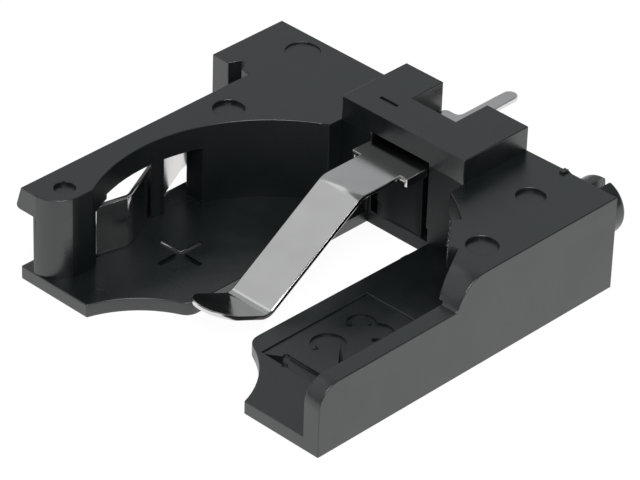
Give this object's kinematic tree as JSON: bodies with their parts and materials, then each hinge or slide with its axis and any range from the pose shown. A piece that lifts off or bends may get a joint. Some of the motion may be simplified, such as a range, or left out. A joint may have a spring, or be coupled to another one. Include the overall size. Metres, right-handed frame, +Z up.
{
  "type": "coin cell holder",
  "caption": "Moulded coin cell holder for a circuit board, with an open pocket, a snap-in arm, two sprung strip contacts with flat pins, and a split locating peg.",
  "frame": {"origin": "on the seated cell's axis, at the plane of the housing's underside", "axes": "+Z up through the holder's thickness, along the seated cell's axis; +Y along the way the cell slides in, towards the board face and the pins; +X across the two arms, towards the arm with the low straight wall"},
  "size_m": [0.0261, 0.0277, 0.0076],
  "materials": {
    "housing": "fine satin moulding, very dark grey",
    "contact": "bright nickel plated spring strip"
  },
  "bodies": {
    "root": {"housing": "housing", "negative_contact": "contact", "positive_contact": "contact"}
  },
  "joints": []
}
